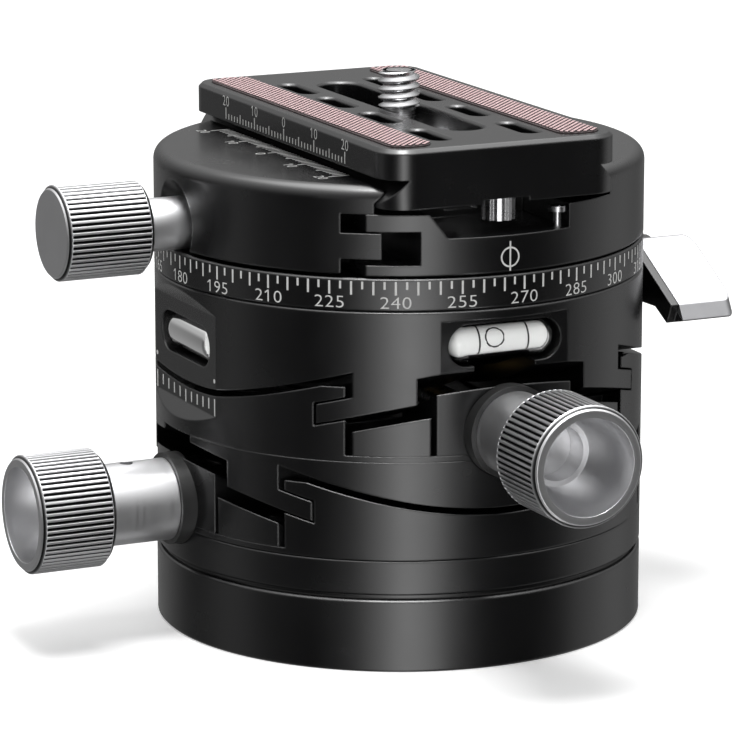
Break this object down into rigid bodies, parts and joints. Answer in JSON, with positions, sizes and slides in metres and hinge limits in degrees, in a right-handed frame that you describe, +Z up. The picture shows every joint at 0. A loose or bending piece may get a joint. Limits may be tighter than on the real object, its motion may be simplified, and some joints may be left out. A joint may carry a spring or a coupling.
{
  "type": "panoramic tripod head",
  "caption": "Round two-axis geared levelling base with worm knobs, spirit levels, degree dial, lockable panning clamp with knob and a quick release camera plate.",
  "frame": {"origin": "centre of the base's underside, on the tripod thread's axis", "axes": "+Z up towards the camera; the lower stage knob and the clamp knob point to -X, the upper stage knob points to -Y, the pan lock lever is on +X; the plate slides along Y"},
  "size_m": [0.1112, 0.1, 0.0843],
  "materials": {
    "black_anodised": "satin black anodised",
    "silver_anodised": "satin natural anodised",
    "steel": "turned steel",
    "spring_steel": "spring steel",
    "black_screws": "blackened steel",
    "brass": "machined brass",
    "bronze": "sintered bronze",
    "black_polymer": "black bearing polymer",
    "vial_clear": "clear acrylic",
    "vial_fluid": "clear fluid",
    "pad_rubber": "dark red and black crosshatched rubber"
  },
  "bodies": {
    "base": {"base_disc": "black_anodised", "tripod_bush": "steel", "base_screws": "steel", "spacer_ring": "black_anodised", "lower_track": "black_anodised", "lower_worm_housing": "black_anodised", "lower_end_blocks": "black_anodised", "lower_rear_bearing": "bronze", "lower_block_screws": "black_screws", "lower_worm_bush": "black_polymer"},
    "lower_worm": {"lower_worm_shaft": "steel", "lower_knob": "silver_anodised", "lower_knob_grub": "steel"},
    "lower_cradle": {"lower_stage": "black_anodised", "lower_rack": "brass", "lower_rack_screws": "black_screws", "upper_track": "black_anodised", "upper_track_screws": "black_screws", "upper_worm_housing": "black_anodised", "upper_end_blocks": "black_anodised", "upper_rear_bearing": "bronze", "upper_block_screws": "black_screws", "upper_worm_bush": "black_polymer"},
    "upper_worm": {"upper_worm_shaft": "steel", "upper_knob": "silver_anodised", "upper_knob_grub": "steel"},
    "upper_cradle": {"upper_stage": "black_anodised", "upper_rack": "brass", "upper_rack_screws": "black_screws", "front_vial": "vial_clear", "front_vial_fluid": "vial_fluid", "side_vial": "vial_clear", "side_vial_fluid": "vial_fluid", "dial_ring": "black_anodised", "dial_ring_screws": "black_screws", "pan_washer": "black_polymer", "pan_bush": "bronze", "pan_brake_shoe": "brass"},
    "pan_lever": {"pan_lever_tab": "silver_anodised", "pan_lever_arm": "black_anodised", "pan_lock_screw": "steel"},
    "panner": {"clamp_body": "black_anodised", "pan_spindle": "steel", "spindle_screws": "black_screws", "jaw_guide_pins": "steel", "jaw_springs": "spring_steel", "stop_post": "steel"},
    "jaw": {"moving_jaw": "black_anodised"},
    "clamp_knob": {"clamp_knob": "silver_anodised", "clamp_screw": "steel"},
    "plate": {"camera_plate": "black_anodised", "plate_pad_left": "pad_rubber", "plate_pad_right": "pad_rubber", "plate_stop_studs": "steel"},
    "screw_carriage": {"screw_retainer": "steel"},
    "camera_screw": {"camera_screw": "steel"}
  },
  "joints": [
    {"name": "lower_tilt", "type": "hinge", "parent": "base", "child": "lower_cradle", "pos_m": [0, 0, 0.10352], "axis": [0, 1, 0], "range_deg": [-10, 10]},
    {"name": "lower_knob_turn", "type": "hinge", "parent": "base", "child": "lower_worm", "pos_m": [0, 0, 0.02122], "axis": [1, 0, 0], "range_deg": [-1335, 1335]},
    {"name": "upper_tilt", "type": "hinge", "parent": "lower_cradle", "child": "upper_cradle", "pos_m": [0, 0, 0.11835], "axis": [-1, 0, 0], "range_deg": [-10, 10]},
    {"name": "upper_knob_turn", "type": "hinge", "parent": "lower_cradle", "child": "upper_worm", "pos_m": [0, 0, 0.03605], "axis": [0, 1, 0], "range_deg": [-1335, 1335]},
    {"name": "pan_lock_turn", "type": "hinge", "parent": "upper_cradle", "child": "pan_lever", "pos_m": [0, 0, 0.05], "axis": [1, 0, 0], "range_deg": [0, 45]},
    {"name": "pan_rotation", "type": "hinge", "parent": "upper_cradle", "child": "panner", "pos_m": [0, 0, 0.05], "axis": [0, 0, 1], "continuous": true},
    {"name": "jaw_slide", "type": "slide", "parent": "panner", "child": "jaw", "axis": [-1, 0, 0], "range_m": [0, 0.0032]},
    {"name": "clamp_knob_turn", "type": "hinge", "parent": "jaw", "child": "clamp_knob", "pos_m": [0, 0, 0.0636], "axis": [1, 0, 0], "range_deg": [-5, 1445]},
    {"name": "plate_slide", "type": "slide", "parent": "panner", "child": "plate", "axis": [0, 1, 0], "range_m": [-0.02, 0.02]},
    {"name": "camera_screw_slide", "type": "slide", "parent": "plate", "child": "screw_carriage", "axis": [0, 1, 0], "range_m": [-0.02, 0.02]},
    {"name": "camera_screw_turn", "type": "hinge", "parent": "screw_carriage", "child": "camera_screw", "pos_m": [0, 0, 0.08], "axis": [0, 0, 1], "continuous": true}
  ],
  "couplings": [
    {"joint": "lower_knob_turn", "follows": "lower_tilt", "ratio": 133},
    {"joint": "upper_knob_turn", "follows": "upper_tilt", "ratio": 133},
    {"joint": "clamp_knob_turn", "follows": "jaw_slide", "rad_per_m": 7854}
  ]
}
